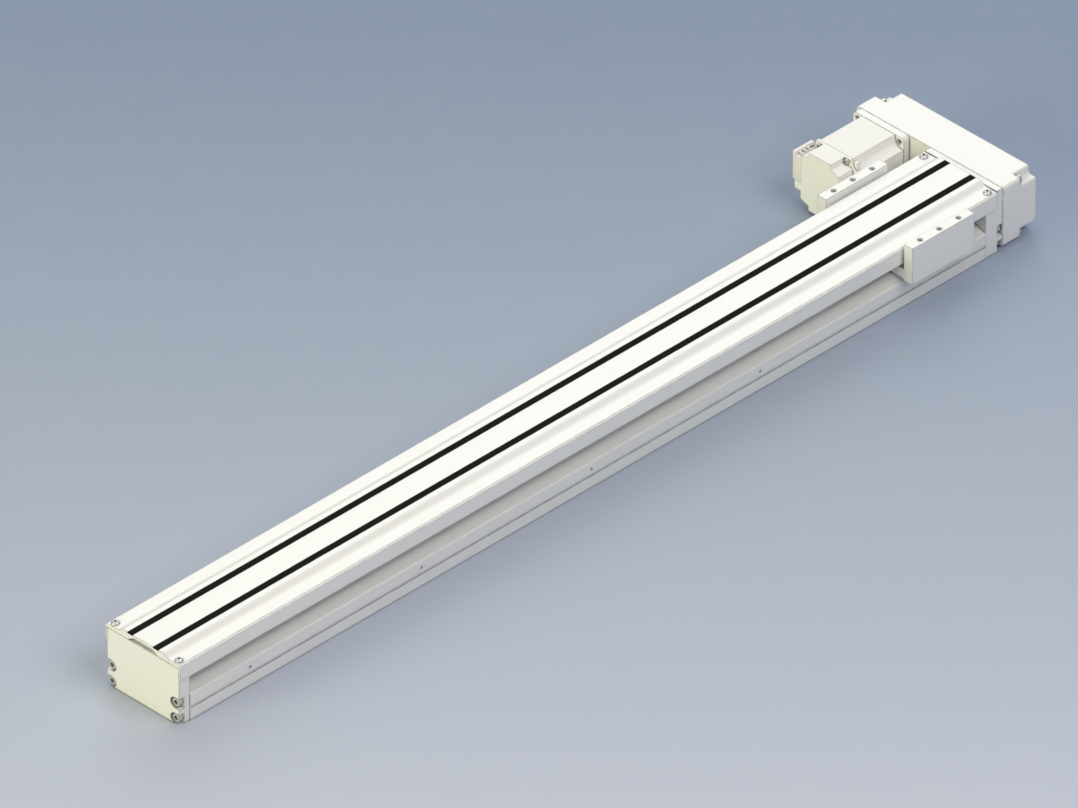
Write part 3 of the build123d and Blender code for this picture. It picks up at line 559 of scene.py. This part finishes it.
def surface(
    name,
    colour,
    tone=0.04,
    metallic=0.0,
    roughness=(0.35, 0.5),
    lines=0.0,
    line_fineness=900.0,
    grain=0.0,
    grain_size=0.0003,
    bump=0.02,
    bump_depth=0.0002,
    patch_size=0.05,
    wear_colour=None,
    wear=0.6,
    wear_width=0.0007,
    corner_shade=0.0,
    corner_shade_colour=(0.16, 0.155, 0.145),
    dust=0.3,
    dust_colour=(0.62, 0.6, 0.56),
    specular=0.5,
    edge_radius=0.00025,
):
    """Material of one finish: tone and sheen patches, lines, grain, worn edges, painted shade in
    corners and dust.
    """
    material = bpy.data.materials.new(name)
    material.use_nodes = True
    tree = material.node_tree
    shader = tree.nodes["Principled BSDF"]
    shader.inputs["Metallic"].default_value = metallic
    shader.inputs["Specular IOR Level"].default_value = specular
    material.diffuse_color = (*colour, 1.0)

    handling = place_group(tree, HANDLING, Patch_Size=patch_size, Strength=1.0)
    line_node = place_group(tree, LINES, Fineness=line_fineness, Contrast=2.4)
    grain_node = place_group(tree, GRAIN, Grain_Size=grain_size, Contrast=1.8)
    texture = math_node(tree, "MULTIPLY", line_node.outputs["Lines"], lines)
    texture = math_node(
        tree, "ADD", texture, math_node(tree, "MULTIPLY", grain_node.outputs["Grain"], grain)
    )
    total = max(lines + grain, 0.001)
    texture = math_node(tree, "DIVIDE", texture, total)

    dark = tuple(c * (1.0 - tone) for c in colour)
    light = tuple(min(1.0, c * (1.0 + tone)) for c in colour)
    shade = math_node(tree, "MULTIPLY", texture, 0.5)
    shade = math_node(
        tree, "ADD", shade, math_node(tree, "MULTIPLY", handling.outputs["Patches"], 0.5)
    )
    base = blend_colour(tree, shade, dark, light)
    if wear_colour:
        edges = place_group(tree, EDGE_WEAR, Width=wear_width, Break_Up=140.0, Amount=wear)
        base = blend_colour(tree, edges.outputs["Mask"], base, wear_colour)
    # Painted shade: darkens the colour deep in corners, grooves and seams
    if corner_shade:
        corners = place_group(tree, CORNER_SHADE, Reach=CORNER_SHADE_REACH, Amount=corner_shade)
        base = blend_colour(tree, corners.outputs["Mask"], base, corner_shade_colour)
    dust_mask = math_node(tree, "MULTIPLY", handling.outputs["Dust"], dust)
    base = blend_colour(tree, dust_mask, base, dust_colour)
    tree.links.new(base, shader.inputs["Base Color"])

    sheen = math_node(tree, "MULTIPLY", handling.outputs["Patches"], 0.6)
    sheen = math_node(tree, "ADD", sheen, math_node(tree, "MULTIPLY", texture, 0.4))
    sheen = span(tree, sheen, *roughness)
    sheen = math_node(tree, "ADD", sheen, math_node(tree, "MULTIPLY", dust_mask, 0.3), clamp=True)
    tree.links.new(sheen, shader.inputs["Roughness"])

    rounded = add_node(tree, "ShaderNodeBevel", {"Radius": edge_radius}, samples=6)
    relief = add_node(tree, "ShaderNodeBump", {"Strength": bump, "Distance": bump_depth})
    tree.links.new(texture, relief.inputs["Height"])
    tree.links.new(rounded.outputs[0], relief.inputs["Normal"])
    tree.links.new(relief.outputs[0], shader.inputs["Normal"])
    return material


# The darkening in corners, grooves and seams that a finish is given is painted shade, not dirt
FINISHES = {
    "rail_steel": surface(
        "ground rail steel", (0.88, 0.88, 0.87), tone=0.05, metallic=0.2,
        roughness=(0.32, 0.48), lines=1.0, grain=0.15, bump=0.16,
        wear_colour=(0.36, 0.36, 0.36), wear=0.9, wear_width=0.001, corner_shade=1.0,
    ),
    "anodised": surface(
        "clear anodised aluminium", (0.87, 0.87, 0.86), tone=0.03, metallic=0.15,
        roughness=(0.38, 0.52), lines=0.35, line_fineness=600.0, grain=1.0,
        grain_size=0.00022, bump=0.12, wear_colour=(0.36, 0.36, 0.355), wear=0.95,
        wear_width=0.001, corner_shade=1.0,
    ),
    "strip_black": surface(
        "black ribbed strip", (0.005, 0.005, 0.0055), tone=0.3, roughness=(0.55, 0.72),
        lines=0.5, grain=0.5, grain_size=0.0005, bump=0.25, dust=0.04,
        dust_colour=(0.12, 0.12, 0.115), specular=0.12,
    ),
    "screw_steel": surface(
        "zinc plated steel", (0.66, 0.665, 0.67), tone=0.08, metallic=0.6,
        roughness=(0.25, 0.42), grain=1.0, grain_size=0.0005, bump=0.15,
        wear_colour=(0.22, 0.22, 0.22), wear=1.0, wear_width=0.0006, edge_radius=0.00015,
        corner_shade=1.0,
    ),
    "ground_steel": surface(
        "ground and polished steel", (0.72, 0.73, 0.74), metallic=1.0,
        roughness=(0.14, 0.26), lines=0.3, grain=0.5, dust=0.0, bump=0.05,
    ),
    "rubber_black": surface(
        "black rubber", (0.02, 0.02, 0.02), tone=0.2, roughness=(0.62, 0.8),
        grain=1.0, grain_size=0.0006, bump=0.3, dust=0.1, specular=0.3,
    ),
    "cap_plastic": surface(
        "moulded end cap plastic", (0.05, 0.055, 0.06), tone=0.15, roughness=(0.45, 0.6),
        grain=1.0, grain_size=0.0008, bump=0.3, dust=0.1,
    ),
    "belt_rubber": surface(
        "belt rubber", (0.03, 0.03, 0.032), tone=0.2, roughness=(0.6, 0.75),
        grain=1.0, grain_size=0.0008, bump=0.4, dust=0.1, specular=0.3,
    ),
    "motor_paint": surface(
        "pale motor paint", (0.93, 0.93, 0.92), tone=0.03, roughness=(0.42, 0.56),
        grain=1.0, grain_size=0.0007, bump=0.3, bump_depth=0.0004,
        wear_colour=(0.38, 0.38, 0.37), wear=0.85, wear_width=0.001, corner_shade=1.0,
    ),
    "connector_plastic": surface(
        "moulded connector plastic", (0.85, 0.845, 0.82), tone=0.04, roughness=(0.4, 0.55),
        grain=1.0, grain_size=0.001, bump=0.2, dust=0.2,
        wear_colour=(0.5, 0.5, 0.48), wear=0.6, corner_shade=0.8,
    ),
    "pin_brass": surface(
        "tinned pin brass", (0.80, 0.77, 0.70), metallic=1.0, roughness=(0.2, 0.3),
        grain=0.3, dust=0.0,
    ),
}


def floor_finish():
    """Plain matt floor with painted shade that darkens it towards the drive end."""
    material = bpy.data.materials.new("plain pale floor")
    material.use_nodes = True
    tree = material.node_tree
    shader = tree.nodes["Principled BSDF"]
    shader.inputs["Roughness"].default_value = 0.9
    shader.inputs["Specular IOR Level"].default_value = 0.1
    place = add_node(tree, "ShaderNodeSeparateXYZ")
    tree.links.new(object_coordinates(tree), place.inputs[0])
    # Painted shade: the floor colour darkens away from the camera, towards the drive end
    across = math_node(tree, "SUBTRACT", place.outputs["Y"], place.outputs["X"])
    across = math_node(tree, "MULTIPLY_ADD", across, 0.55)
    across.node.inputs[2].default_value = 0.5
    across.node.use_clamp = True
    shade = blend_colour(tree, across, FLOOR_NEAR, FLOOR_FAR)
    mottle = noise(tree, 40.0, object_coordinates(tree), 4.0, 0.6)
    mottle = span(tree, mottle, 0.0, 0.06)
    tree.links.new(
        blend_colour(tree, mottle, shade, (0.7, 0.7, 0.7)), shader.inputs["Base Color"]
    )
    return material


def make_floor():
    deselect_all()
    bpy.ops.mesh.primitive_plane_add(size=FLOOR_SIZE, location=(0, 0, FLOOR_Z))
    floor = settle(bpy.context.object, "floor")
    floor.data.materials.append(floor_finish())


def dress_nodes():
    """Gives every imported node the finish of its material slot."""
    slot_of = {part["node"]: part["material_slot"] for part in frame["record"]["subparts"]}
    for node, piece in frame["nodes"].items():
        piece.data.materials.clear()
        piece.data.materials.append(FINISHES[slot_of[node]])


# Screws
def cut_socket(screw, top, corners, depth):
    """Cuts the six-sided socket into a head."""
    tool = round_bar("socket", corners / 2, top - depth, top + SOCKET_TOOL_ABOVE, sides=6)
    cut_out(screw, tool)


def draw_shank(screw, size, length):
    edit(screw)
    step_down(screw, 0.0, (size[1] - size[0]) / 2, -length)
    ease_rim(screw, -length, size[0] / 2, 0.12 * size[0])
    done()


def cap_screw(size, length):
    """Socket head screw with its seat at the origin, and its knurled head above."""
    radius = size[1] / 2
    height = size[2]
    screw = round_bar("cap_screw", radius, 0.0, height, sides=HEAD_SIDES)
    draw_shank(screw, size, length)
    edit(screw)
    ease_rim(screw, height, radius, 0.1 * radius)
    done()
    cut_socket(screw, height, size[3], CAP_SOCKET_DEPTH * height)
    edit(screw)
    pick(
        screw, "VERT",
        lambda corner: near(corner.xy.length, radius)
        and round(math.atan2(corner.y, corner.x) / math.radians(360 / HEAD_SIDES)) % 2,
    )
    bpy.ops.transform.resize(
        value=(KNURL_SCALE, KNURL_SCALE, 1.0), center_override=(0, 0, 0)
    )
    done()
    return screw


def button_screw(size, length):
    """Low round-headed screw with a socket."""
    radius = size[1] / 2
    height = size[2]
    screw = round_bar("button_screw", radius, 0.0, BUTTON_RIM * height)
    draw_shank(screw, size, length)
    edit(screw)
    pick(screw, "FACE", lambda middle: near(middle.z, BUTTON_RIM * height))
    for inward, rise in BUTTON_STEPS:
        bpy.ops.mesh.inset(thickness=inward * radius, depth=rise * height)
    done()
    cut_socket(screw, height, size[3], BUTTON_SOCKET_DEPTH * height)
    return screw


def make_screws():
    """Every group of screws, at the same seats as in the part's source."""
    corners = [(side * CORNER_X, z) for side in SIDES for z in CORNER_HEIGHTS]
    long_place = (CORNER_X, CORNER_HEIGHTS[0])
    motor_x, motor_z = MOTOR_AXIS
    cap_x, cap_z = MOTOR_CAP_OFFSETS
    saddle_x, saddle_y = SADDLE_OFFSETS
    quarters = [(side, way) for side in SIDES for way in SIDES]
    # Piece, node, body, shape, size, shank length, seats and where the heads point
    groups = (
        ("idle_corner_screws", "idle_block_screws", "base", cap_screw, M5, 0.024,
         [(x, IDLE_SEAT, z) for x, z in corners], TO_IDLE_END),
        ("drive_corner_screws", "drive_block_screws", "base", cap_screw, M5, 0.032,
         [(x, DRIVE_SEAT, z) for x, z in corners if (x, z) != long_place], TO_DRIVE_END),
        ("cover_button_screws", "cover_screws", "base", button_screw, M4_BUTTON, 0.012,
         [(side * CORNER_X, y, COVER_SEAT) for side in SIDES for y in COVER_SCREW_Y],
         UPWARDS),
        ("housing_top_screws", "housing_screws", "base", cap_screw, M4, 0.0265,
         [(x, HOUSING_SEAT, z) for x, z in HOUSING_SCREWS], TO_DRIVE_END),
        ("housing_through_screw", "housing_long_screw", "base", cap_screw, M4, 0.059,
         [(long_place[0], HOUSING_SEAT, long_place[1])], TO_DRIVE_END),
        ("lid_screws", "cover_plate_screws", "base", button_screw, M4_BUTTON, 0.010,
         [(x, LID_SEAT, z) for x, z in LID_SCREWS], TO_DRIVE_END),
        ("motor_corner_screws", "motor_screws", "base", cap_screw, M5, 0.025,
         [(motor_x + MOTOR_SCREW_OFFSET * dx, HOUSING_SEAT, motor_z + MOTOR_SCREW_OFFSET * dz)
          for dx, dz in quarters], TO_DRIVE_END),
        ("motor_rear_screws", "motor_cap_screws", "base", cap_screw, M2_5, 0.011,
         [(motor_x + cap_x * dx, MOTOR_CAP_SEAT, motor_z + cap_z * dz)
          for dx, dz in quarters], TO_IDLE_END),
        ("saddle_cap_screws", "saddle_screws", "carriage", cap_screw, M5, 0.012,
         [(saddle_x * dx, SADDLE_MIDDLE + saddle_y * dy, SADDLE_SEAT)
          for dx, dy in quarters], UPWARDS),
    )
    for name, node, body, shape, size, length, places, towards in groups:
        pattern = shape(size, length)
        screws = copies(pattern, name, places, towards)
        take_up(pattern)
        bpy.ops.object.delete()
        finish_piece(screws, body, "screw_steel", [node])


def make_connector():
    """Moulded connector: a shelf for the pins behind a longer wall with rounded ends."""
    low = Vector(CONNECTOR_LOW)
    high = Vector((*CONNECTOR_HIGH[:2], CONNECTOR_SHELF))
    wall_top = CONNECTOR_HIGH[2]
    deselect_all()
    bpy.ops.mesh.primitive_cube_add(size=1.0, location=(low + high) / 2, scale=high - low)
    shelf = settle(bpy.context.object, "connector_shelf")
    edit(shelf)
    bpy.ops.mesh.select_all(action="SELECT")
    bpy.ops.mesh.bisect(plane_co=(CONNECTOR_WALL_X, 0, 0), plane_no=(1, 0, 0))
    pick(
        shelf, "FACE",
        lambda middle: near(middle.z, high.z) and middle.x < CONNECTOR_WALL_X,
    )
    bpy.ops.mesh.extrude_region_move(
        TRANSFORM_OT_translate={"value": (0, 0, wall_top - high.z)}
    )
    pick(shelf, "FACE", lambda middle: near(middle.y, high.y) and middle.z > high.z)
    bpy.ops.mesh.extrude_region_move(
        TRANSFORM_OT_translate={"value": (0, CONNECTOR_WALL_END - high.y, 0)}
    )
    pick(
        shelf, "EDGE",
        lambda middle: near(middle.y, CONNECTOR_WALL_END) and near(middle.z, wall_top),
    )
    bpy.ops.mesh.bevel(offset=CONNECTOR_END_ROUND, segments=5, affect="EDGES")
    pick(
        shelf, "EDGE",
        lambda middle: near(middle.x, CONNECTOR_WALL_X) and near(middle.z, high.z)
        and middle.y < high.y,
    )
    bpy.ops.mesh.bevel(offset=CONNECTOR_FOOT_FILLET, segments=4, affect="EDGES")
    done()
    soften = shelf.modifiers.new("soften", "BEVEL")
    soften.width = CONNECTOR_SOFT_EDGE
    soften.segments = 3
    soften.limit_method = "ANGLE"
    soften.angle_limit = math.radians(40.0)
    apply_modifiers(shelf)
    finish_piece(shelf, "base", "connector_plastic", ["motor_connector"])


# Threads
def make_ball_screw():
    """Two-start ball screw: rounded grooves, then the journals of its two ends."""
    start, end = SCREW_THREAD
    pitch = SCREW_LEAD / 2
    groove = ((0.09, 1.0), (0.20, 0.925), (0.34, 0.865), (0.50, 0.845),
              (0.66, 0.865), (0.80, 0.925), (0.91, 1.0))
    points = [(SCREW_RADIUS, 0, 0)]
    for n in range(2):
        for share, depth in groove:
            points.append((SCREW_RADIUS * depth, 0, (n + share) * pitch))
    points.append((SCREW_RADIUS, 0, SCREW_LEAD))
    turns = math.ceil((end - start) / SCREW_LEAD) + 1
    thread = polyline("threaded_ball_screw", points)
    wind(thread, SCREW_LEAD, turns, 20)
    middle = (start + end) / 2
    take_up(thread)
    thread.location.z = middle - turns * SCREW_LEAD / 2
    settle(thread, "threaded_ball_screw")
    trim(thread, start, above=False)
    trim(thread, end, above=True)

    radius, seat_end = BEARING_JOURNAL
    tip_radius, tip_end = PULLEY_JOURNAL
    drive_journal = round_bar("drive_journal", radius, end, seat_end)
    edit(drive_journal)
    step_down(drive_journal, seat_end, radius - tip_radius, tip_end - seat_end)
    ease_rim(drive_journal, tip_end, tip_radius, 0.1 * tip_radius)
    done()
    radius, seat_end = IDLE_SHOULDER
    tip_radius, tip_end = IDLE_JOURNAL
    idle_journal = round_bar("idle_journal", radius, seat_end, start)
    edit(idle_journal)
    step_down(idle_journal, seat_end, radius - tip_radius, tip_end - seat_end)
    ease_rim(idle_journal, tip_end, tip_radius, 0.1 * tip_radius)
    done()
    deselect_all()
    for part in (thread, drive_journal, idle_journal):
        part.select_set(True)
    bpy.context.view_layer.objects.active = thread
    bpy.ops.object.join()
    stand(thread, (0, 0, SCREW_HEIGHT), TO_DRIVE_END)
    settle(thread, "threaded_ball_screw")
    finish_piece(thread, "screw", "ground_steel", ["ball_screw"])


def make_wing_threads():
    """Turns of thread in the six holes of the wings."""
    pitch = WING_THREAD_PITCH
    crest = WING_HOLE_RADIUS - 0.34 * pitch
    wall = WING_HOLE_RADIUS + WING_THREAD_BITE
    turns = round(WING_HOLE_DEPTH / pitch) - 2
    thread = polyline("wing_thread", [
        (wall, 0, 0), (crest, 0, 0.44 * pitch), (crest, 0, 0.56 * pitch), (wall, 0, pitch),
    ])
    wind(thread, pitch, turns, 16)
    edit(thread)
    bpy.ops.mesh.select_all(action="SELECT")
    bpy.ops.mesh.normals_make_consistent(inside=True)
    done()
    shell = thread.modifiers.new("wall", "SOLIDIFY")
    shell.thickness = WING_THREAD_WALL
    shell.offset = -1.0
    apply_modifiers(thread)
    floor = WING_TOP - WING_HOLE_DEPTH
    places = [(side * WING_HOLE_X, y, floor) for side in SIDES for y in WING_HOLE_Y]
    threads = copies(thread, "wing_threads", places, UPWARDS)
    take_up(thread)
    bpy.ops.object.delete()
    finish_piece(threads, "carriage", "anodised", angle=20.0)


deselect_all()
make_camera()
make_world()
for lamp in LAMPS:
    make_light(*lamp)
make_floor()
dress_nodes()
make_screws()
make_connector()
make_ball_screw()
make_wing_threads()
